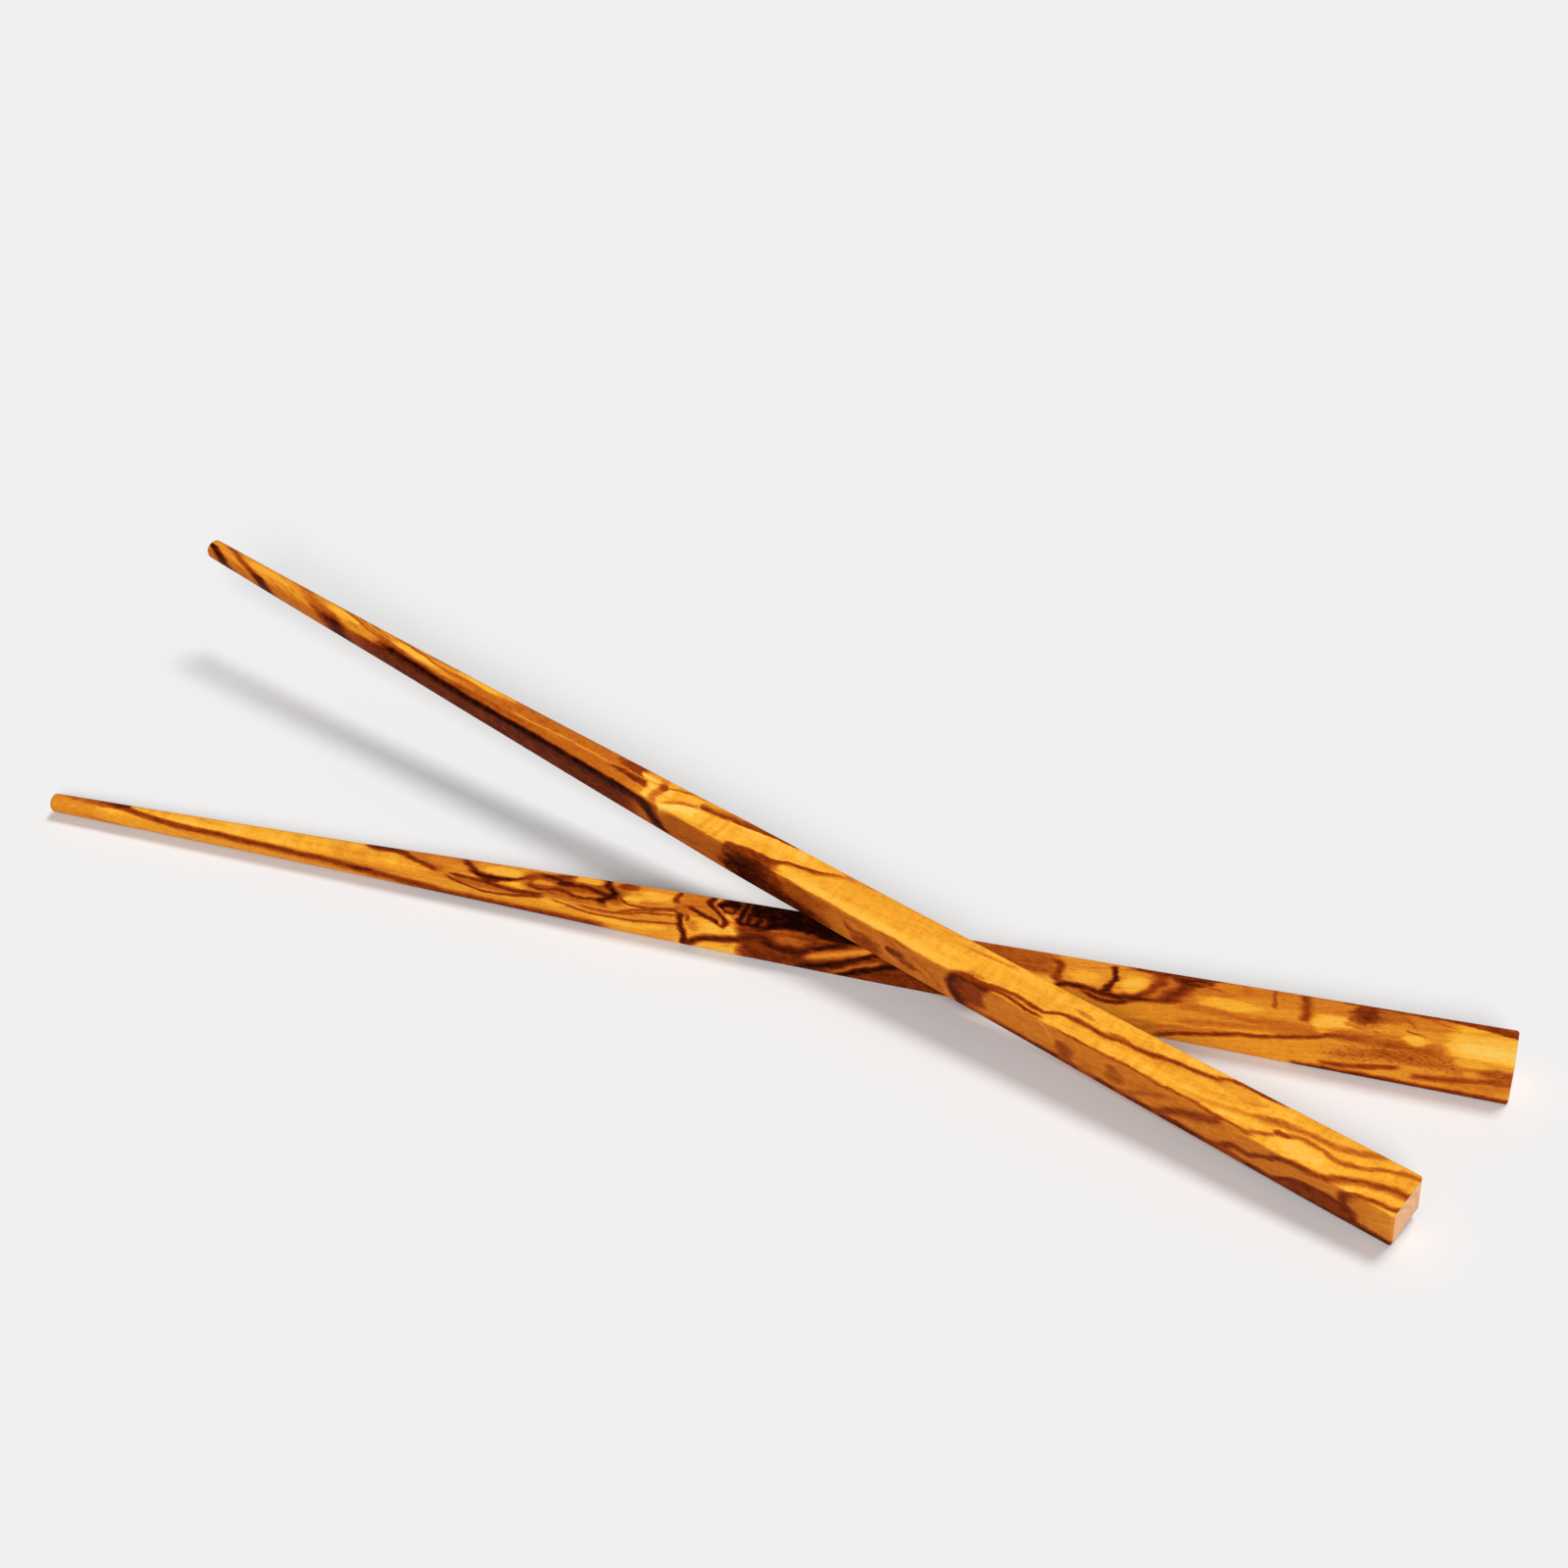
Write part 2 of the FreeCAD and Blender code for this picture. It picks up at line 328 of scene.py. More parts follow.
class Figure:
    """Marks laid over the plain wood, one after the other."""

    def __init__(self, wood, tone):
        self.wood = wood
        self.tone = tone

    def lay(self, mask, shade, share):
        """Leads the tone towards a shade where the mask is 1."""
        self.tone = self.tone.towards(shade, mask * share if share < 1 else mask)

    def span(self, value, first, last, start, stop):
        """1 between two values, with a soft start and a soft stop."""
        begun = value.rise(first - start / 2, first + start / 2)
        return begun * value.rise(last + stop / 2, last - stop / 2)

    def stroke(self, line, width, above, below):
        """1 on a line and 0 away from it, each side with its own softness."""
        upper = line.rise(SOFT * above * width, CORE * width)
        return upper * line.rise(-SOFT * below * width, -CORE * width)

    def band(self, along, girth, shade, soft=(3.0, 0.25), share=1.0):
        """A broad band over a stretch of the stick, from one girth to another."""
        mask = self.span(self.wood.along, along[0], along[1], soft[0], soft[0])
        self.lay(mask * self.span(self.wood.girth, girth[0], girth[1], soft[1], soft[1]), shade, share)

    def vein(self, points, width, shade, above=1.0, below=1.0, start=2.0, stop=2.0, share=1.0):
        """A vein along the grain. Each point is a place along, in mm, and a girth."""
        line = self.wood.girth - self.wood.along.through(points)
        mask = self.stroke(line, width, above, below)
        span = self.span(self.wood.along, points[0][0], points[-1][0], start, stop)
        self.lay(mask * span, shade, share)

    def crack(self, points, width, shade, before=1.0, behind=1.0, start=0.2, stop=0.2, share=1.0):
        """A vein across the grain. Each point is a girth and a place along, in mm."""
        line = self.wood.along - self.wood.girth.through(points)
        mask = self.stroke(line, width, behind, before)
        span = self.span(self.wood.girth, points[0][0], points[-1][0], start, stop)
        self.lay(mask * span, shade, share)

    def pores(self, points, width, shade, start=4.0, stop=4.0):
        """A vein that breaks up into dark specks."""
        line = self.wood.girth - self.wood.along.through(points)
        specks = self.wood.noise(SPECKS, roughness=0.6, seed=70.0).rise(0.0, 0.8)
        mask = self.stroke(line, width, 1.0, 1.0) * specks
        span = self.span(self.wood.along, points[0][0], points[-1][0], start, stop)
        self.lay(mask * span, shade, 1.0)

    def stain(self, spot, reach, shade, share=1.0):
        """A soft, uneven oval: its middle and its reach, each along in mm and in girth."""
        along = (self.wood.along - spot[0]) * (1 / reach[0])
        girth = (self.wood.girth - spot[1]) * (1 / reach[1])
        mask = (along * along + girth * girth + self.wood.blot).rise(STAIN_EDGE, STAIN_CORE)
        self.lay(mask, shade, share)


# %% [markdown]
# ## The upper stick's figure
# These are the marks on the upper stick, from the tip to the butt, broad bands
# first and fine veins over them. Noise alone would give wood of this kind, but
# not this piece of it, so each mark is placed on its own.

# %% Marks of the upper stick
def upper_figure(figure):
    """Lays the upper stick's marks over the plain wood."""
    band, vein, crack, stain = figure.band, figure.vein, figure.crack, figure.stain

    # Front face, from tip to butt: brown, darker at the neck, tan at the butt.
    # These bands are partly the wood's own colour and partly painted shade of the front face.
    band((-9, 42), (-2.4, -0.1), 0.45, soft=(6, 0.4))
    band((-9, 46), (-0.3, 0.3), 0.46, soft=(6, 0.35), share=0.7)
    band((36, 97.5), (-2.4, 0.1), 0.77, soft=(10, 0.3))
    band((98, 118), (-2.4, -0.02), 0.5, soft=(2, 0.15))
    band((118, 158), (-2.4, -0.02), 0.45, soft=(8, 0.15))
    band((224, 240), (-2.4, -0.02), 0.37, soft=(3, 0.15))
    band((158, 226), (-2.4, -0.02), 0.42, soft=(4, 0.15))
    # Painted shade: a dark band along the bottom edge of the front face, from the handle to the butt
    band((164, 240), (-2.8, -1.64), 0.84, soft=(12, 0.3), share=0.9)

    # Blade: slanting streaks that darken towards the front face
    band((-9, 66), (0.1, 2.4), 0.37, soft=(8, 0.4), share=0.8)
    stain((14, 1.05), (5, 0.4), 0.2, share=0.7)
    stain((31.5, 1.15), (4.5, 0.45), 0.16, share=0.8)
    crack([(-2, 5.3), (-0.8, 4.3), (0, 3.2), (0.5, 1.6), (0.9, 0.1)], 1.5, 0.92)
    crack([(-2, 15), (-0.8, 14.2), (0, 12.4), (0.4, 10), (0.8, 8)], 1.5, 0.88, stop=0.5)
    crack([(0.2, 11.2), (0.7, 8.2), (1.1, 6.2), (1.4, 4.2), (1.7, 1.8)], 1.3, 0.6, start=0.6)
    crack([(-2, 32.6), (-0.8, 31.4), (-0.1, 30.2), (0.3, 28.6), (0.7, 26.6)], 3.0, 0.86, stop=0.8)
    crack([(0.2, 29.2), (0.5, 27.2), (0.9, 25.2), (1.4, 22), (1.8, 19)],
          2.6, 0.52, start=0.6, share=0.85)
    vein([(29, 1.7), (33, 1.42), (37, 1.05), (40, 0.8), (45, 0.5)], 0.12, 0.55)
    vein([(32, 1.7), (36, 1.4), (41, 0.98), (46, 0.72)], 0.07, 0.5)
    vein([(36, 1.7), (40, 1.35), (44, 1.05)], 0.06, 0.48)

    # Neck: arcs in the gold, and a nearly black band along the front edge
    band((46, 82), (-0.1, 0.6), 0.64, soft=(12, 0.4), share=0.85)
    band((58, 97.5), (0.1, 2.4), 0.5, soft=(12, 0.3), share=0.95)
    stain((62, 1.6), (7, 0.35), 0.14, share=0.85)
    stain((48, 1.15), (6, 0.3), 0.12, share=0.8)
    stain((73, 1.35), (6, 0.35), 0.52, share=0.7)
    vein([(42, 1.75), (46, 1.52), (49.5, 1.42), (53, 1.22), (56, 1.15), (61, 1.22)], 0.1, 0.54, stop=6)
    vein([(46, 1.86), (51, 1.68), (55, 1.68), (59, 1.8), (62, 1.9)], 0.08, 0.52)
    vein([(40, 1.0), (44, 0.78), (48, 0.6), (54, 0.5), (64, 0.5), (74, 0.55)],
         0.16, 0.6, stop=10, share=0.85)
    vein([(70, 0.8), (76, 0.92), (80, 1.05), (88, 1.08), (97, 1.1)], 0.07, 0.24, share=0.6)
    vein([(76, 0.8), (84, 0.86), (92, 0.84)], 0.06, 0.5, share=0.7)
    vein([(41, 0.4), (48, 0.3), (54, 0.08), (62, -0.02), (72, -0.05), (82, -0.1), (92, -0.15),
          (97, -0.25)], 0.23, 0.98, below=1.7, start=6, stop=6)

    # Middle: dark lenses, pale columns and a pale wedge
    stain((94.3, 1.6), (4.4, 0.36), 0.68)
    stain((94.8, 0.93), (4.4, 0.26), 0.76)
    stain((97.3, 1.55), (1.9, 0.32), 0.08)
    crack([(0.15, 98.4), (1.2, 98.4)], 0.8, 0.1)
    crack([(0.15, 101), (1.9, 101.4)], 0.9, 0.12)
    crack([(0.05, 99.9), (0.7, 99.8), (1.45, 100.1)], 0.8, 0.46)
    stain((100, 1.32), (1.1, 0.3), 0.64)
    crack([(-1.8, 102), (-1.2, 100.3), (-0.6, 98.8), (-0.1, 97.6)], 1.5, 0.94)
    vein([(101.2, 0.1), (103, 0.42), (105, 0.8), (107.3, 1.14)], 0.05, 0.0, below=12, start=1, stop=0.4)
    vein([(101.5, 0.35), (103.5, 0.75), (106, 1.1), (107.4, 1.24)], 0.14, 0.46, share=0.8)
    vein([(100.5, 1.4), (103, 1.72), (105, 1.95)], 0.07, 0.52)
    vein([(107.3, 1.2), (110, 1.33), (113, 1.48), (117, 1.68), (121, 1.85), (125, 1.97)],
         0.05, 0.7, above=8, start=0.4, stop=1)
    crack([(0.1, 109.5), (1.2, 110)], 0.5, 0.34, share=0.6)
    crack([(0.1, 112.5), (1.5, 113)], 0.4, 0.34, share=0.6)

    # The dark zone on the front, and the vein that leaves it for the back edge
    stain((120, -1.1), (6.5, 1.4), 0.9)
    stain((119.5, -1.5), (3.6, 0.8), 0.93)
    band((122, 134), (-2.4, -0.02), 0.62, soft=(9, 0.15), share=0.6)
    stain((127, -1.7), (7, 0.6), 0.84)
    stain((130, -0.8), (4, 0.6), 0.58, share=0.7)
    vein([(115, 0.12), (118, 0.26), (121, 0.4), (124, 0.42)], 0.16, 0.74, below=2.4, start=1)
    vein([(116, 0.15), (118, 0.38), (121, 0.52), (123, 0.62), (125.5, 0.9), (128, 1.15), (130, 1.27),
          (132.5, 1.52), (134.5, 1.85), (136, 1.97)],
         0.08, 0.72, above=0.7, below=2.6, start=1, stop=1)
    vein([(134, 1.85), (140, 1.95), (146, 1.98)], 0.06, 0.5)
    stain((141.8, -1.5), (2.8, 0.7), 0.66)
    vein([(137.5, -0.7), (139, -1.1), (141.5, -1.15), (143, -1.85)], 0.2, 0.64)
    stain((147, -1.02), (1.8, 0.3), 0.74)
    stain((149.3, -1.25), (1.7, 0.25), 0.66)
    vein([(144, -0.1), (147, -0.06), (150, -0.12)], 0.1, 0.62)
    vein([(145, -0.3), (149, -0.9), (153, -1.6)], 0.14, 0.56, share=0.7)
    vein([(149, -0.3), (153, -1.0), (156, -1.7)], 0.12, 0.54, share=0.7)
    stain((160.4, -0.8), (3, 1.3), 0.68)
    stain((160.8, 0.06), (3.6, 0.3), 0.8)
    crack([(-2, 158.6), (-1.4, 157.6), (-0.9, 157), (-0.4, 157.2), (0.1, 158.3)], 0.8, 0.84, behind=2)

    # Handle: the long wavy vein over the top
    band((132, 160), (1.1, 2.4), 0.3, soft=(12, 0.8), share=0.8)
    band((126, 160), (0.02, 0.5), 0.13, soft=(8, 0.6), share=0.7)
    vein([(162, 0.14), (167, 0.2), (172, 0.1)], 0.1, 0.72)
    vein([(158, 0.08), (161, 0.22), (165, 0.34), (168.5, 0.48), (172.3, 0.42), (173.5, 0.58),
          (175, 0.8), (178, 0.9), (182, 0.86), (184.5, 1.03), (188, 1.06), (191.5, 1.25), (195, 1.42),
          (199, 1.58), (201.5, 1.82), (205, 1.9), (209, 1.93)], 0.11, 0.7)
    stain((184, 1.1), (2.2, 0.16), 0.6, share=0.8)
    vein([(157, 1.5), (161, 1.62), (165, 1.8)], 0.08, 0.4)
    stain((177.5, 1.3), (1.8, 0.14), 0.42)
    crack([(-1.7, 176.6), (-1.0, 175.2), (0, 172.6)], 0.4, 0.3, share=0.6)
    stain((177, -1.3), (1.8, 0.7), 0.66, share=0.85)
    stain((185.3, -0.9), (1.8, 0.6), 0.6, share=0.8)
    stain((181, -1.6), (2, 0.5), 0.52, share=0.7)
    vein([(186, -1.85), (190, -1.1), (194, -0.5)], 0.2, 0.56, share=0.8)

    # Butt: a family of veins that climb to the back edge
    vein([(176, -0.04), (184, 0.0), (192, 0.08), (200, 0.08), (208, 0.14)], 0.1, 0.6, start=6)
    vein([(192, -1.85), (193.5, -1.45), (196, -0.95), (199, -0.55), (203, -0.05)],
         0.24, 0.66, below=1.4)
    vein([(196, 0.3), (200, 0.45), (205, 0.8), (209, 1.0)], 0.12, 0.36, start=4, share=0.7)
    stain((203, 1.5), (5, 0.3), 0.36, share=0.7)
    vein([(207, 1.0), (212, 1.25), (216, 1.35), (219, 1.4), (222, 1.65), (225, 1.92)],
         0.15, 0.5, start=4)
    vein([(206, 0.1), (210.5, 0.68), (213, 0.95), (216, 0.97), (219, 0.88), (222, 1.05), (225, 1.4),
          (228, 1.7), (231, 1.82)], 0.1, 0.54)
    stain((211, 0.76), (1.2, 0.14), 0.66)
    stain((215, 0.5), (5, 0.3), 0.1, share=0.7)
    vein([(201.5, -1.8), (204, -1.4), (205.5, -1.1), (207.5, -1.12), (209, -0.9), (211.5, -0.4),
          (214, -0.15), (217, -0.08)], 0.18, 0.7)
    stain((204, -1.75), (3, 0.3), 0.64)
    vein([(211, -1.85), (214, -1.25), (218, -1.0), (221, -1.0), (224, -1.1)],
         0.14, 0.74, below=7, start=2, stop=2)
    crack([(-1.9, 224), (-1.2, 223.5), (-0.6, 222.4), (-0.1, 223.4)], 0.9, 0.74)
    vein([(215.5, -0.1), (219, 0.0), (220.5, 0.25), (223, 0.55), (226, 0.78), (228, 0.92), (231, 0.96)],
         0.14, 0.64, below=1.5)
    vein([(222.5, -0.3), (223.5, 0.0), (226, 0.1), (228, 0.2), (231, 0.36)], 0.1, 0.64)


# %% [markdown]
# ## The lower stick's figure
# The lower stick has a plain blade with one long vein, a burl in its middle
# with an eye and dark loops, and a handle crossed by dark cracks. A burl is
# where the grain once ran round a bud, so its veins close into rings.

# %% Marks of the lower stick
def lower_figure(figure):
    """Lays the lower stick's marks over the plain wood."""
    band, vein, crack, stain = figure.band, figure.vein, figure.crack, figure.stain

    # Blade: one long vein from the back edge down to the front bottom edge
    band((-9, 9), (-2.4, 2.4), 0.42, soft=(8, 0.4), share=0.8)
    # Partly the wood's own colour, partly painted shade: the front face made a little darker
    band((0, 106), (-2.4, -0.1), 0.33, soft=(6, 0.6), share=0.8)
    stain((9, 1.0), (6, 0.6), 0.58, share=0.9)
    vein([(10, 1.2), (12.5, 0.82), (15, 0.5), (18, 0.16), (22, -0.06), (26, -0.2), (30, -0.3),
          (38, -0.54), (42, -0.64), (50, -0.85), (57, -1.15), (64, -1.42), (70, -1.6), (82, -1.72),
          (94, -1.8)], 0.34, 0.7, above=0.85, start=4, stop=4)
    vein([(9, 1.2), (12.5, 0.9), (15, 0.5), (18, 0.2), (22, 0.0), (27, -0.2)],
         0.26, 0.68, start=3, stop=6)
    stain((53.5, -0.95), (2.4, 0.2), 0.82)
    stain((12.3, 1.1), (1.8, 0.3), 0.8)

    # Start of the burl: a brown corner on the top, closed in by a crisp line
    band((62, 117), (0.0, 2.4), 0.42, soft=(6, 0.4), share=0.6)
    band((55, 72), (1.15, 2.4), 0.46, soft=(2, 0.4))
    vein([(54.5, 1.25), (56, 1.1), (58, 1.15), (60, 1.0), (62, 0.75), (64, 0.5), (66, 0.3),
          (68.5, 0.06)], 0.07, 0.48, above=12, start=1, stop=2)
    vein([(54.5, 1.5), (57, 1.35), (60, 1.3), (61.5, 1.05), (63, 0.72), (64.5, 0.5), (67, 0.22)],
         0.2, 0.74, start=1)
    stain((56.5, 1.55), (3, 0.3), 0.8)
    stain((66.5, 1.2), (2.5, 0.5), 0.38, share=0.8)
    band((69.5, 84), (-0.62, -0.05), 0.48, soft=(2, 0.15), share=0.85)
    vein([(68, 0.0), (69, -0.25), (70, -0.42), (72, -0.7), (74.5, -0.86), (78, -0.82), (82, -0.62),
          (85, -0.4)], 0.1, 0.72)
    vein([(69, 0.1), (72, 0.0), (75, -0.1), (77, -0.28), (80, -0.42), (83, -0.35), (85, -0.15),
          (88, -0.2), (93, -0.28)], 0.15, 0.76)
    stain((75.4, 0.16), (2.0, 0.26), 0.78)
    vein([(70, 1.7), (71.5, 1.1), (72.5, 0.75), (74, 0.46), (76, 0.38), (78, 0.5), (80, 0.8),
          (82, 1.12), (84, 1.3), (88, 1.65)], 0.24, 0.8)
    vein([(72, 0.7), (74, 0.42), (76, 0.36), (78, 0.48)], 0.14, 0.92)
    stain((77, 1.1), (3.6, 0.5), 0.14, share=0.8)
    stain((80.3, 0.12), (2, 0.32), 0.2)

    # Burl: dark knotted lines on the top, long arcs on the front
    band((81, 97), (-0.05, 1.5), 0.6, soft=(3, 0.4), share=0.9)
    stain((84, 0.75), (2.2, 0.25), 0.36)
    stain((91, 0.3), (2.4, 0.22), 0.34)
    vein([(83, 1.4), (86, 1.18), (87, 0.92), (90, 0.95), (91.5, 0.8), (93.5, 0.56), (95.3, 0.5)],
         0.16, 0.84)
    vein([(82, 0.3), (84, 0.12), (86, 0.35), (88, 0.25), (90, 0.02), (93, 0.1)], 0.12, 0.76)
    stain((87.2, 0.95), (1.4, 0.3), 0.9)
    crack([(-0.4, 94), (0.0, 93.5), (0.3, 94.2), (0.6, 95), (0.9, 94.9), (1.2, 93.9), (1.9, 93)],
          0.8, 0.95)
    stain((90.5, 1.55), (2.6, 0.34), 0.22)
    stain((97, 1.6), (1.6, 0.4), 0.66)
    stain((98.6, 0.66), (1.8, 0.34), 0.18)
    stain((101.5, 1.25), (2.8, 0.45), 0.2)
    vein([(95.8, 0.75), (97, 0.4), (98, 0.15), (100, 0.1), (103, 0.25), (106, 0.52)], 0.1, 0.68)
    band((84, 106), (-0.95, -0.1), 0.38, soft=(3, 0.2), share=0.7)
    stain((86, -0.7), (2.4, 0.3), 0.24)
    vein([(86, -0.48), (88.5, -0.8), (91, -0.98), (95, -1.0), (99, -0.95), (103, -0.75), (106, -0.58)],
         0.08, 0.6)
    vein([(90, -0.6), (95, -0.66), (97.5, -0.55), (100, -0.3), (104, -0.1), (106, 0.0)], 0.1, 0.6)
    vein([(96.5, -0.5), (99, -0.18), (102, 0.02), (105.5, 0.3)], 0.09, 0.64)
    vein([(92, -1.25), (98, -1.3), (104, -1.05)], 0.16, 0.14, share=0.7)
    crack([(-1.9, 107), (-1.2, 106.6), (-0.5, 106.4), (0.0, 106.2), (0.4, 105.9)], 0.6, 0.84)
    crack([(-0.3, 107.7), (0.2, 107.1), (0.7, 105.6)], 0.35, 0.7)
    crack([(0.9, 105.2), (1.4, 104.8), (1.9, 105.0)], 0.5, 0.74)

    # The eye and its rings
    band((105.5, 116), (0.2, 2.4), 0.46, soft=(1, 0.3), share=0.85)
    vein([(107, 0.75), (108.5, 0.5), (110, 0.3), (111.5, 0.15), (112.6, -0.08), (113.2, -0.26)],
         0.14, 0.88)
    crack([(-0.26, 113.2), (0.0, 113.8), (0.3, 113.4), (0.6, 112.1), (0.9, 111.0), (1.4, 110.1),
           (1.9, 110.2)], 0.55, 0.88)
    crack([(0.3, 114.6), (0.8, 113), (1.4, 111.4), (1.9, 111.4)], 0.35, 0.2, share=0.9)
    stain((113.2, 1.4), (1.9, 0.6), 0.98)
    stain((113.2, 1.15), (0.9, 0.2), 0.6)
    crack([(0.1, 116.3), (0.5, 115.2), (1.0, 115.3), (1.9, 115.4)], 0.5, 0.98)
    vein([(115.6, 0.2), (117.5, -0.12), (120, 0.02), (122, 0.12)], 0.15, 0.97)
    crack([(-1.0, 111.6), (-0.15, 111.6)], 1.1, 0.16)
    crack([(-1.9, 114.9), (-0.2, 115)], 0.7, 0.14)
    crack([(-0.9, 108.6), (-0.15, 108.6)], 0.8, 0.42)

    # Beyond the eye: nearly black on the top, partly dark wood and partly the painted shadow
    # of the upper stick; dark red on the front, swept by loops
    band((116, 142), (0.05, 2.4), 0.99, soft=(1.5, 0.3))
    crack([(0.3, 117.5), (0.9, 117.3)], 0.5, 0.64, share=0.8)
    crack([(0.3, 119.2), (0.9, 119)], 0.4, 0.68, share=0.8)
    stain((124, 0.0), (4.2, 0.5), 0.56)
    band((115.5, 152), (-2.4, 0.05), 0.74, soft=(2, 0.3))
    stain((123.5, -0.35), (3.4, 0.32), 0.54)
    vein([(107, -1.75), (109, -1.35), (111, -1.12), (113.5, -1.0), (116, -0.8), (118, -0.5),
          (121, -0.4)], 0.22, 0.84)
    vein([(119, -0.8), (122, -1.0), (124, -0.95), (127, -0.7), (129.5, -0.3), (132, 0.02)], 0.16, 0.95)
    vein([(126, -1.05), (129, -0.85), (132, -0.55), (134.5, -0.3), (137, -0.1)], 0.26, 0.34)
    vein([(125, -1.85), (130, -1.35), (133, -0.95), (136, -0.45), (138, -0.1)], 0.15, 0.96)
    vein([(130, -1.75), (134, -1.25), (138, -0.7)], 0.14, 0.5)
    vein([(131, -1.9), (134, -1.5), (137, -1.1), (141, -0.6)], 0.16, 0.96)

    # Handle: red-brown at first, then gold crossed by dark cracks
    band((150, 164), (0.5, 2.4), 0.6, soft=(4, 0.6), share=0.9)
    band((164, 222), (0.15, 2.4), 0.36, soft=(4, 0.3), share=0.85)
    band((176, 222), (1.0, 2.4), 0.46, soft=(6, 0.7), share=0.6)
    # Partly the wood's own colour, partly painted shade: the front face made a little darker
    band((164, 232), (-2.4, -0.1), 0.34, soft=(6, 0.3), share=0.8)
    stain((168, 0.8), (2.4, 0.5), 0.22, share=0.8)
    crack([(0.2, 164.6), (0.6, 163.8), (1.0, 164.0), (1.6, 163.3)], 0.8, 0.7)
    crack([(0.0, 171.0), (0.2, 171.3), (0.7, 171.8), (1.1, 172.3), (1.4, 171.8), (1.8, 172)], 0.5, 0.88)
    vein([(164, 0.0), (168, 0.1), (170, 0.02), (172, -0.1), (176, 0.0), (179, 0.1), (182, 0.22)],
         0.18, 0.86)
    vein([(168, -0.15), (170, -0.38), (172, -0.46), (175, -0.25)], 0.12, 0.8)
    stain((175.5, 0.8), (2.4, 0.6), 0.16)
    band((177, 186), (0.1, 2.4), 0.46, soft=(3, 0.3), share=0.7)
    crack([(0.1, 176.3), (0.4, 177), (0.8, 178), (1.2, 178.7), (1.9, 179)], 1.0, 0.7, share=0.9)
    crack([(0.1, 180.4), (0.5, 181), (0.9, 181.8), (1.3, 182.8), (1.9, 184.6)], 1.6, 0.74)
    stain((183.3, 1.65), (3.2, 0.35), 0.82)
    vein([(174, 1.85), (180, 1.85), (188, 1.92)], 0.12, 0.74)
    vein([(184, 1.6), (188, 1.3)], 0.08, 0.6, share=0.8)
    vein([(182, 0.0), (188, 0.0), (196, 0.0), (202, 0.0)], 0.2, 0.5)
    stain((189, 0.6), (5, 0.4), 0.2, share=0.8)
    crack([(0.9, 195.5), (1.9, 195.3)], 0.35, 0.6)
    crack([(0.35, 200.4), (1.0, 200.2), (1.9, 199.8)], 0.9, 0.64)
    crack([(1.2, 192), (1.9, 191)], 0.8, 0.5, share=0.7)
    vein([(179, -1.75), (184, -1.45), (188, -1.15), (191, -1.0), (195, -0.8), (199, -0.55),
          (202, -0.35), (205, -0.1), (208, 0.05)], 0.12, 0.68)
    vein([(182, -0.8), (192, -0.45), (202, -0.15)], 0.12, 0.48, share=0.7)
    vein([(176, -1.1), (186, -0.95), (196, -0.6)], 0.08, 0.16, share=0.6)

    # Butt: a stain, a zone of dark pores and yellow wood to the end
    stain((204, 0.6), (3, 0.5), 0.14, share=0.9)
    stain((209, 1.35), (2.8, 0.6), 0.72)
    stain((212.5, 1.5), (2.6, 0.45), 0.52, share=0.8)
    vein([(204, 0.05), (212, 0.0), (220, -0.05)], 0.3, 0.56, start=4, stop=4)
    vein([(206, 0.75), (210, 0.5), (214, 0.35)], 0.1, 0.42)
    vein([(213, 1.7), (216, 1.15)], 0.07, 0.55, start=0.6, stop=0.6)
    vein([(217, 1.8), (222, 1.3)], 0.08, 0.5, start=0.6, stop=0.6)
    vein([(214.5, 0.8), (217.2, 0.62)], 0.06, 0.6, start=0.6, stop=0.6)
    stain((216, 0.38), (2.2, 0.3), 0.13, share=0.8)
    stain((225, -1.3), (7, 0.4), 0.46, share=0.6)
    band((221, 240), (-0.05, 1.5), 0.16, soft=(3, 0.4))
    stain((226, 0.45), (6, 0.35), 0.05, share=0.8)
    vein([(205, 1.92), (215, 1.88), (222, 1.9)], 0.1, 0.68)
    vein([(219, 1.92), (225, 1.68), (231, 1.42)], 0.08, 0.7, above=7)
    vein([(205, -1.0), (210, -0.72), (213, -0.52), (216, -0.36), (222, -0.3)], 0.2, 0.5, share=0.7)
    vein([(213, -0.75), (218, -0.75), (223, -0.8)], 0.16, 0.5, share=0.7)
    stain((214, -0.62), (7, 0.3), 0.52, share=0.8)
    figure.pores([(203, -1.0), (208, -0.85), (212, -0.6), (217, -0.5), (223, -0.6)], 0.4, 0.78)
    vein([(203, -1.62), (209, -1.42), (214, -1.15)], 0.12, 0.66)
    vein([(199, -1.92), (215, -1.85), (231, -1.9)], 0.14, 0.74)
    vein([(216, -1.45), (224, -1.15), (231, -0.95)], 0.12, 0.62)
    stain((229, -0.65), (5, 0.35), 0.58)
    stain((224.5, -0.3), (3, 0.22), 0.24)


# %% [markdown]
# ## From tone to oiled wood
# The plain wood under the marks has soft layers, fine growth lines and fibres.
# All of them only nudge one number, the tone, and a ramp turns the tone into a
# colour: straw, gold, brown, red-brown and nearly black. Dark wood is oilier, so
# the tone also guides the sheen. Fibres and pores are far too small to model
# and go into the bump. The named shares below say how much each layer nudges
# the tone.

# %% The wood finish
WOOD_COLOURS = [
    (0.0, (0.86, 0.57, 0.12)),
    (0.22, (0.84, 0.375, 0.026)),
    (0.42, (0.58, 0.16, 0.013)),
    (0.62, (0.29, 0.045, 0.004)),
    (0.82, (0.09, 0.01, 0.0012)),
    (1.0, (0.012, 0.0015, 0.0006)),
]
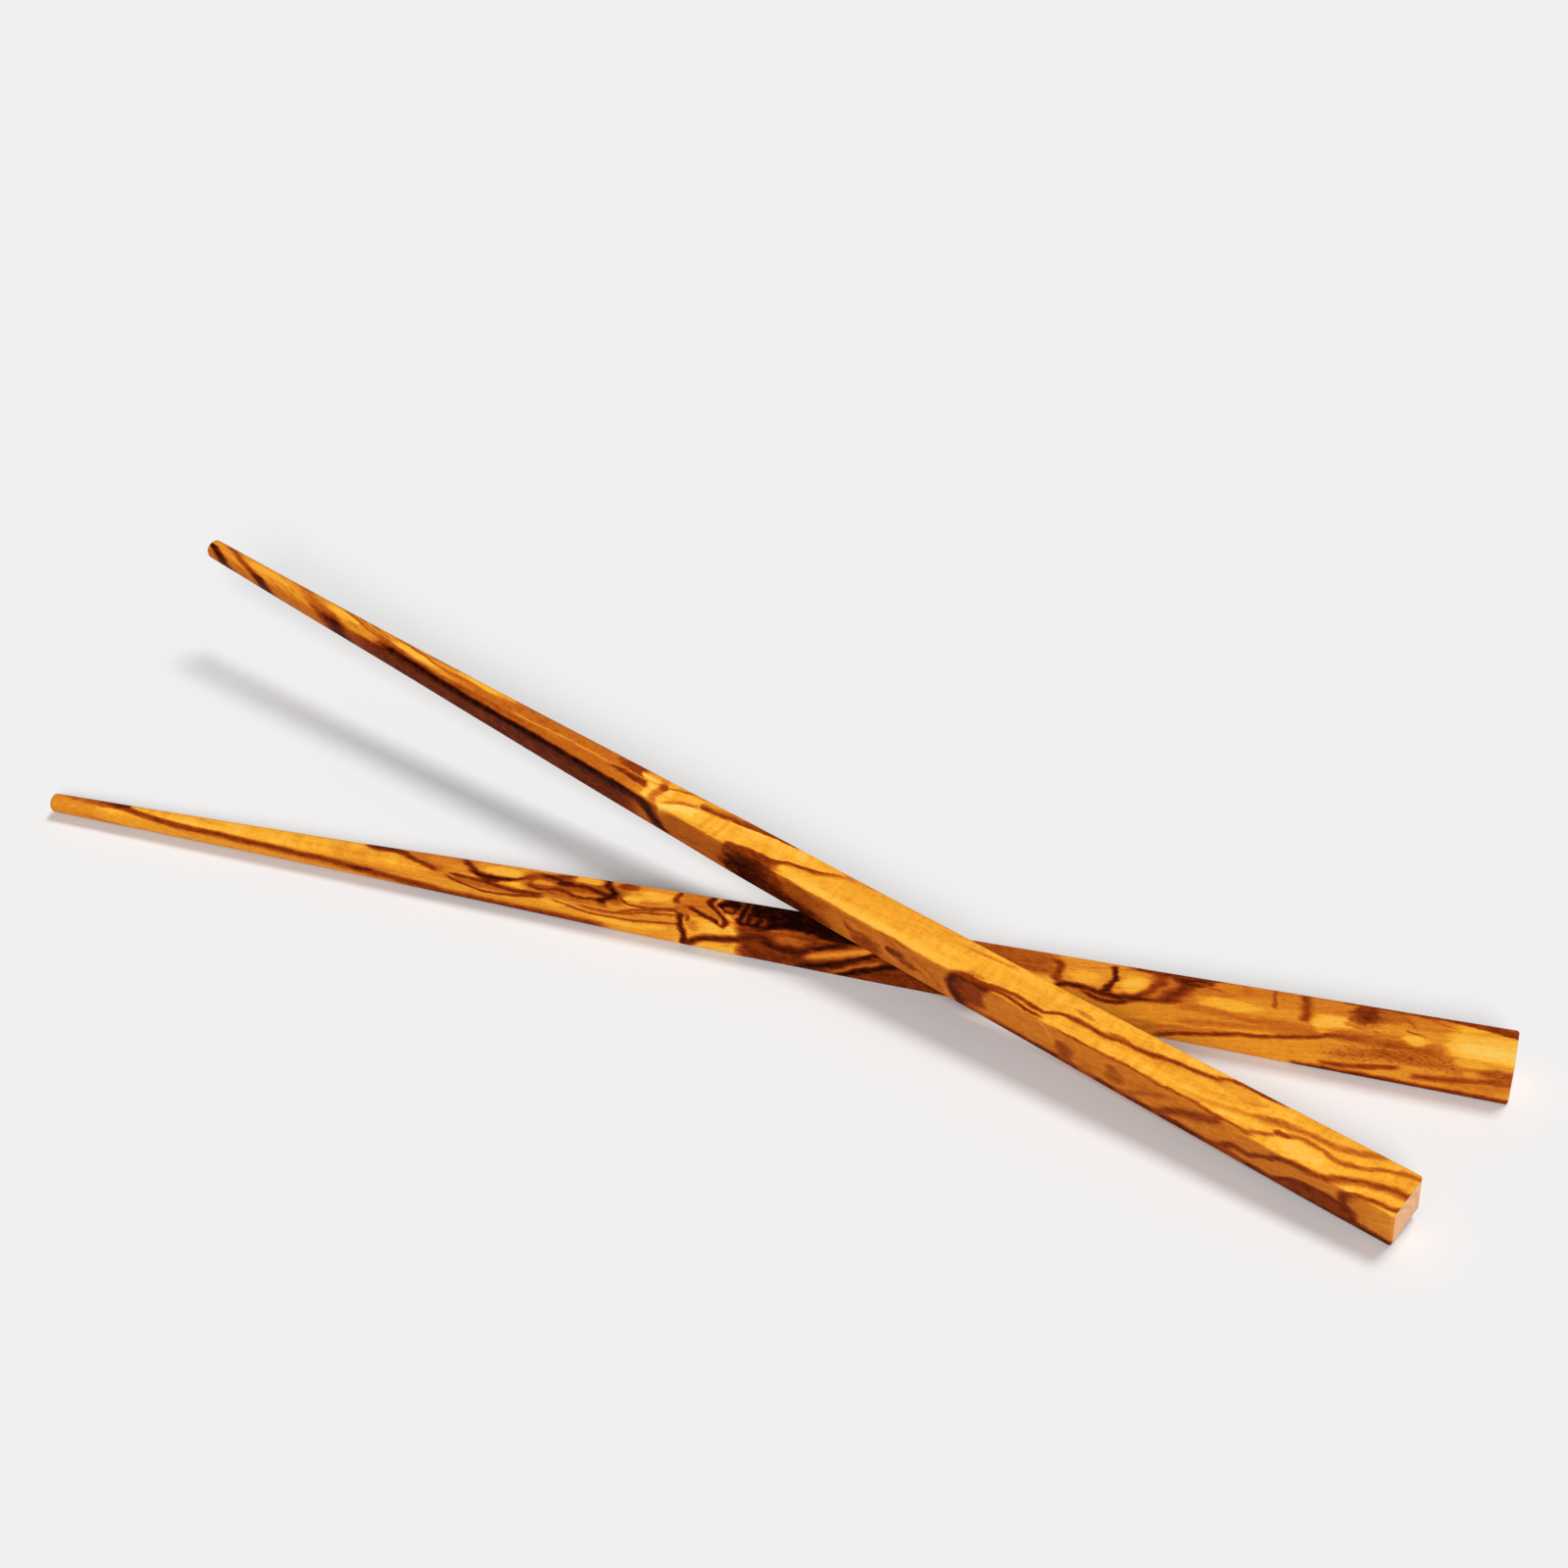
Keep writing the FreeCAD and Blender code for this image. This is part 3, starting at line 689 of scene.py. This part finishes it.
# End faces: a pale end-grain colour, partly the wood's own and partly painted light, so that end faces
# the key hardly reaches look lit
PAINTED_LIGHT_END_GRAIN = (1.0, 0.58, 0.33, 1.0)
END_SHARE = 0.7
PLAIN = 0.23
CLOUDS = 0.09
RIPPLE = 0.06
STREAKS = 0.14
MOTTLE = 0.16
LINES = 0.045
FIBRES = 0.05
PORES = 0.09
ROUGHNESS = 0.52
OILED = 0.08
ROUGH_FIBRES = 0.05
ROUGH_PORES = 0.12
RAISED_FIBRES = 0.6
RAISED_LINES = 0.4
SUNK_PORES = 1.5
RELIEF = 0.25
FIBRE_DEPTH = 0.04 * MM
SHEEN = 0.03
SHEEN_TINT = (1.0, 0.55, 0.2, 1.0)


def wood_finish(name, figure, drift, seed):
    """A procedural finish of oiled, strongly veined wood."""
    material = bpy.data.materials.new(name)
    wood = Wood(material, drift)
    clouds = wood.noise((0.05, 0.35, 0.35), detail=3.0, seed=seed)
    ripple = wood.noise((0.8, 0.25, 0.25), seed=seed + 40)
    marks = Figure(wood, PLAIN + clouds * CLOUDS + ripple * RIPPLE)
    figure(marks)
    tone = marks.tone

    # Streaks and growth lines follow the layers, and mottle shows where there are marks
    grain = wood.layers()
    streaks = wood.noise((0.035, 1.7, 0.5), detail=3.0, roughness=0.55, seed=seed + 20, place=grain)
    tone = tone + streaks.rise(0.1, 1.0) * tone.rise(0.6, 0.3) * STREAKS
    mottle = wood.noise((0.7, 1.1, 1.1), detail=3.0, roughness=0.6, seed=seed + 50)
    tone = tone + (tone - PLAIN) * mottle * MOTTLE
    lines = wood.noise((0.08, 9.0, 2.0), detail=3.0, roughness=0.6, seed=seed + 30, place=grain)
    fibres = wood.noise((0.9, 9.0, 9.0), roughness=0.6, seed=seed + 60)
    pores = wood.noise((1.3, 6.5, 6.5), detail=1.0, seed=seed + 80).rise(0.45, 0.7)
    tone = (tone + lines * LINES + fibres * FIBRES + pores * PORES).clamp()

    colour = tone.node("ShaderNodeValToRGB", {"stops": WOOD_COLOURS}, {0: tone})
    # Painted light: the end faces lean towards the pale end-grain colour
    ends = {0: wood.end * END_SHARE, 6: colour, 7: PAINTED_LIGHT_END_GRAIN}
    colour = colour.node("ShaderNodeMix", {"data_type": "RGBA"}, ends, 2)
    roughness = ROUGHNESS - tone * OILED + fibres * ROUGH_FIBRES + pores * ROUGH_PORES
    relief = fibres * RAISED_FIBRES + lines * RAISED_LINES - pores * SUNK_PORES
    depth = {"Strength": RELIEF, "Distance": FIBRE_DEPTH, "Height": relief}
    bump = relief.node("ShaderNodeBump", {}, depth)
    surface = bump.node(
        "ShaderNodeBsdfPrincipled",
        {},
        {
            "Base Color": colour,
            "Roughness": roughness,
            "Normal": bump,
            "Specular IOR Level": SHEEN,
            "Specular Tint": SHEEN_TINT,
        },
    )
    surface.node("ShaderNodeOutputMaterial", {}, {"Surface": surface}, None)
    print(f"{name}: {len(material.node_tree.nodes)} nodes")
    return material


# %% [markdown]
# ## The carved form
# A stick could be a stretched cube with bevels, but its section changes all the
# way: a square with crisp edges at the butt, nearly round at the tip. So it is
# lofted. Rings of points are laid along the stick, each one a square with
# rounded corners, and the same points run on from ring to ring. The two ends
# are closed with a grid, which keeps the faces even. The blades of this pair
# were carved a little slimmer than their handles promise, so each stick has a
# share by which its blade slims, from `SLIM_UNTIL` down to the tip.

# %% Sizes of the carved form, in millimetres
BUTT_WIDTH = 7.8
MIDDLE_WIDTH = 6.0
NECK_WIDTH = 4.3
TIP_WIDTH = 3.3
NECK_AT = 50.0
MIDDLE_AT = 115.0
EDGE_ROUND = 0.45
NECK_ROUND = 1.1
TIP_EDGE_ROUND = 1.4
TIP_ROUND = 0.6
RING_STEP = 0.5
RIM_RINGS = 6
ARC_STEPS = 4
FLAT_STEPS = 20
LEAST_ROUND = 0.02
SLIM_UNTIL = 95.0
TIP_CROWN = -0.08


def half_width(along, length):
    """Half the width across the flats, at a distance from the tip."""
    widths = (TIP_WIDTH, NECK_WIDTH, MIDDLE_WIDTH, BUTT_WIDTH)
    return np.interp(along, (0, NECK_AT, MIDDLE_AT, length), widths) / 2


def edge_round(along, length):
    """Radius of the four long edges, at a distance from the tip."""
    radii = (TIP_EDGE_ROUND, NECK_ROUND, EDGE_ROUND, EDGE_ROUND)
    return np.interp(along, (0, NECK_AT, MIDDLE_AT, length), radii)


def ring(half, radius):
    """One ring of points: a square with rounded corners, across and up."""
    inner = half - radius
    first = np.linspace(np.pi / 4, np.pi / 2, ARC_STEPS + 1)
    second = first + np.pi / 4
    flat = np.linspace(inner, -inner, FLAT_STEPS + 1)[1:-1]
    side = np.concatenate([
        np.column_stack([inner + radius * np.cos(first), inner + radius * np.sin(first)]),
        np.column_stack([flat, np.full(len(flat), half)]),
        np.column_stack([-inner + radius * np.cos(second), inner + radius * np.sin(second)])[:-1],
    ])
    sides = [side]
    for _ in range(3):
        sides.append(np.column_stack([-sides[-1][:, 1], sides[-1][:, 0]]))
    return np.concatenate(sides)


def stations(length):
    """Where the rings stand, and how far each is drawn in at the two rims."""
    turns = np.radians(np.linspace(0, 90, RIM_RINGS + 1))[:-1]
    tip = TIP_ROUND * (1 - np.cos(turns))
    butt = EDGE_ROUND * (1 - np.cos(turns))
    between = np.arange(TIP_ROUND, length - EDGE_ROUND, RING_STEP)
    along = np.concatenate([tip, between, [length - EDGE_ROUND], length - butt[::-1]])
    inset = np.zeros(len(along))
    inset[:RIM_RINGS] = TIP_ROUND * (1 - np.sin(turns))
    inset[-RIM_RINGS:] = EDGE_ROUND * (1 - np.sin(turns))[::-1]
    return along, inset


def cap(outline, crown):
    """A grid of points that closes a ring: rows by columns, edges included."""
    count = len(outline) // 4
    share = np.linspace(0, 1, count + 1)
    top = outline[np.arange(0, count + 1)]
    left = outline[np.arange(count, 2 * count + 1)]
    bottom = outline[np.arange(2 * count, 3 * count + 1)][::-1]
    right = np.append(outline[3 * count:], outline[:1], axis=0)[::-1]
    u, v = np.meshgrid(share, share, indexing="ij")
    u, v = u[..., None], v[..., None]
    grid = (1 - v) * top[:, None] + v * bottom[:, None] + (1 - u) * right[None] + u * left[None]
    corners = (1 - u) * (1 - v) * top[0] + u * (1 - v) * top[-1]
    corners = corners + (1 - u) * v * bottom[0] + u * v * bottom[-1]
    rise = crown * 16 * u[..., 0] * (1 - u[..., 0]) * v[..., 0] * (1 - v[..., 0])
    return grid - corners, rise


print(f"points in each ring: {len(ring(BUTT_WIDTH / 2, EDGE_ROUND))}")


# %% [markdown]
# ## From rings to a closed form
# The rings become a skin of quads, and each end gets a grid whose outer points
# are the ring's own, so that no seam opens. Every point is still told as along,
# across and up, in millimetres, because the finish needs it that way.

# %% From rings to a closed form
def carved_rings(length, slim):
    """Where the rings stand along the stick, and their points across and up."""
    along, inset = stations(length)
    slimmer = 1 - slim * np.interp(along, (0, SLIM_UNTIL), (1, 0))
    halves = half_width(along, length) * slimmer - inset
    rounds = np.maximum(edge_round(along, length) - inset, LEAST_ROUND)
    return along, np.array([ring(half, radius) for half, radius in zip(halves, rounds)])


def wall_faces(ring_count, around_count):
    """The quads between each ring and the next."""
    faces = []
    for i in range(ring_count - 1):
        low, high = i * around_count, (i + 1) * around_count
        for k in range(around_count):
            after = (k + 1) % around_count
            faces.append((low + k, low + after, high + after, high + k))
    return faces


def close_end(outline, first, inside, station, crown, flip):
    """The inner points of the grid on an end, and its quads."""
    side = len(outline) // 4
    grid, rise = cap(outline, crown)
    number = np.zeros((side + 1, side + 1), int)
    extra = []
    for i in range(1, side):
        for j in range(1, side):
            number[i, j] = inside + len(extra)
            extra.append((station + rise[i, j], *grid[i, j]))
    for i in range(side + 1):
        number[i, 0] = first + i
        number[side, i] = first + side + i
        number[i, side] = first + 3 * side - i
        number[0, i] = first + (4 * side - i) % len(outline)
    quads = []
    for i in range(side):
        for j in range(side):
            quad = (number[i, j], number[i, j + 1], number[i + 1, j + 1], number[i + 1, j])
            quads.append(tuple(int(n) for n in (quad if flip else quad[::-1])))
    return extra, quads


def closed_form(length, slim):
    """A stick's places, which of them are end grain, and its quads."""
    along, rings = carved_rings(length, slim)
    ring_count, around_count = rings.shape[:2]
    stood = np.repeat(along, around_count)[:, None]
    places = np.concatenate([stood, rings.reshape(-1, 2)], axis=1)
    ends = np.zeros(len(places))
    faces = wall_faces(ring_count, around_count)
    for outline, first, station, crown, flip in (
        (rings[0], 0, 0.0, TIP_CROWN, True),
        (rings[-1], (ring_count - 1) * around_count, length, 0.0, False),
    ):
        extra, quads = close_end(outline, first, len(places), station, crown, flip)
        places = np.concatenate([places, extra])
        ends = np.concatenate([ends, np.ones(len(extra))])
        faces += quads
    return places, ends, faces


# %% [markdown]
# ## The trace of the hand
# Hand carving and sanding leave a stick a little uneven. The mesh gets a slight
# bow to the front, as both sticks show, and faces that are a few hundredths of a
# millimetre from flat. The upper stick's front face also leans back a little,
# between the blade and the butt. A subdivided mesh with noise would blur the
# crisp edges, so slow waves are worked into the places themselves.

# %% Bow, waves and lean
ACROSS_WAVE = 0.006
UP_WAVE = 0.004
WAVE_STEPS = (11.0, 5.3, 8.0)
LEAN_FADE = (20, 60, 195, 212)


def carved_by_hand(places, marks, length, bow, lean, seed):
    """The places with the bow, the waves and the lean of hand carving."""
    along = places[:, 0]
    share = along / length
    wave = np.sin(along / WAVE_STEPS[0] + seed) + np.sin(along / WAVE_STEPS[1] + 2 * seed)
    across = places[:, 1] * (1 + ACROSS_WAVE * wave) + bow * 4 * share * (1 - share)
    up = places[:, 2] * (1 + UP_WAVE * np.sin(along / WAVE_STEPS[2] + 3 * seed))
    fade = np.interp(along, LEAN_FADE, (0, 1, 1, 0))
    front_top = np.clip((1 - marks[:, 0]) / 2, 0, 1) * np.clip((1 + marks[:, 1]) / 2, 0, 1)
    return np.column_stack([along, across + lean * fade * front_top, up])


# %% [markdown]
# ## The mesh in its place
# The places are led into the world along the stick's own three directions, read
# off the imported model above. The two marks that the finish reads, `grain` and
# `faces`, are kept on the points as they were before the hand touched them, so
# the figure follows the wood.

# %% A stick's mesh
def build_stick(name, node, bow, lean, slim, seed, material):
    """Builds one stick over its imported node, with its places in the wood as marks."""
    lie = lies[node]
    length = lie["length"]
    places, ends, faces = closed_form(length, slim)
    local = half_width(places[:, 0], length)
    marks = np.column_stack([places[:, 1] / local, places[:, 2] / local, ends])
    along, across, up = np.hsplit(carved_by_hand(places, marks, length, bow, lean, seed), 3)
    tip, axis, side_way, up_way = (np.array(lie[word]) for word in ("tip", "axis", "side", "up"))
    points = tip + MM * (along * axis + across * side_way + up * up_way)

    mesh = bpy.data.meshes.new(name)
    mesh.from_pydata(points.tolist(), [], faces)
    for word, values in (("grain", places), ("faces", marks)):
        attribute = mesh.attributes.new(word, "FLOAT_VECTOR", "POINT")
        attribute.data.foreach_set("vector", values.astype(np.float32).ravel())
    mesh.polygons.foreach_set("use_smooth", [True] * len(mesh.polygons))
    mesh.materials.append(material)
    mesh.update()
    stick = bpy.data.objects.new(name, mesh)
    scene.collection.objects.link(stick)
    print(f"{name}: {len(mesh.polygons)} faces")
    return stick


# %% [markdown]
# ## The pair
# Both sticks come from the same two functions, with their own numbers. A drift
# says how the growth layers cross the section on the way from tip to butt: each
# pair is a place along and a girth. Bow and lean are in millimetres, and slim is
# a share. Each carved piece then hangs under the root body, and its imported
# node is hidden.

# %% Carving and finishing the pair
LOWER_DRIFT = [
    (0, 2.0), (10, 1.4), (30, -0.35), (60, -1.4), (95, -1.8),
    (115, -0.6), (135, 1.2), (165, 2.6), (208, 5.0), (230, 5.8),
]
UPPER_DRIFT = [
    (0, 6.0), (20, 3.0), (35, 0.8), (60, -0.6), (97, -0.6),
    (130, 1.2), (165, 2.6), (200, 4.4), (230, 7.0),
]
LOWER_HAND = {"bow": -0.33, "lean": 0.0, "slim": 0.13, "seed": 1.0}
UPPER_HAND = {"bow": -0.96, "lean": 0.4, "slim": 0.07, "seed": 2.0}
lower_wood = wood_finish("lower_wood", lower_figure, LOWER_DRIFT, 11.0)
upper_wood = wood_finish("upper_wood", upper_figure, UPPER_DRIFT, 47.0)
lower = build_stick("lower_stick", "lower_chopstick", material=lower_wood, **LOWER_HAND)
upper = build_stick("upper_stick", "upper_chopstick", material=upper_wood, **UPPER_HAND)
for stick, node, slot in (
    (lower, "lower_chopstick", "lower_wood"),
    (upper, "upper_chopstick", "upper_wood"),
):
    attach(stick, "root")
    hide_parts(node)

# %% [markdown]
# ## Floor and light
# The pair lies on a plain pale floor. The key is a wide, soft sun high behind it
# on the right, so that the top faces glow and the shadows fall softly towards
# the viewer. The fill is a second sun from the camera's own direction: it
# brightens the front faces, and its shadows hide behind the sticks. A weak,
# white sky lifts what is left.

# %% Floor and light
FLOOR_COLOUR = (0.77, 0.77, 0.77, 1.0)
FLOOR_SIZE = 6.0
FLOOR_ROUGHNESS = 0.9
FLOOR_SHEEN = 0.1
WHITE = (1.0, 1.0, 1.0, 1.0)
SKY_STRENGTH = 0.17
LIGHT_DISTANCE = 1.0
LIGHTS = {
    "key": {"power": 1.7, "spread": 20, "azimuth": 150, "elevation": 68},
    "fill": {"power": 2.4, "spread": 24, "azimuth": 16, "elevation": 37},
}

floor_mesh = bpy.data.meshes.new("floor")
shape = bmesh.new()
bmesh.ops.create_grid(shape, x_segments=1, y_segments=1, size=FLOOR_SIZE / 2)
shape.to_mesh(floor_mesh)
shape.free()
floor = bpy.data.objects.new("floor", floor_mesh)
scene.collection.objects.link(floor)
floor_material = bpy.data.materials.new("floor")
floor_material.use_nodes = True
floor_shader = floor_material.node_tree.nodes["Principled BSDF"]
floor_shader.inputs["Base Color"].default_value = FLOOR_COLOUR
floor_shader.inputs["Roughness"].default_value = FLOOR_ROUGHNESS
floor_shader.inputs["Specular IOR Level"].default_value = FLOOR_SHEEN
floor_mesh.materials.append(floor_material)

sky = bpy.data.worlds.new("sky")
sky.use_nodes = True
background = sky.node_tree.nodes["Background"]
background.inputs["Color"].default_value = WHITE
background.inputs["Strength"].default_value = SKY_STRENGTH
scene.world = sky

for name, light in LIGHTS.items():
    sun = bpy.data.objects.new(name, bpy.data.lights.new(name, "SUN"))
    sun.data.energy = light["power"]
    sun.data.angle = math.radians(light["spread"])
    scene.collection.objects.link(sun)
    azimuth = math.radians(light["azimuth"])
    elevation = math.radians(light["elevation"])
    aim(sun, around(azimuth, elevation, LIGHT_DISTANCE), LOOK_AT)
    print(f"{name}: power {light['power']}, {light['elevation']} degrees up")
scene.view_settings.view_transform = "Standard"
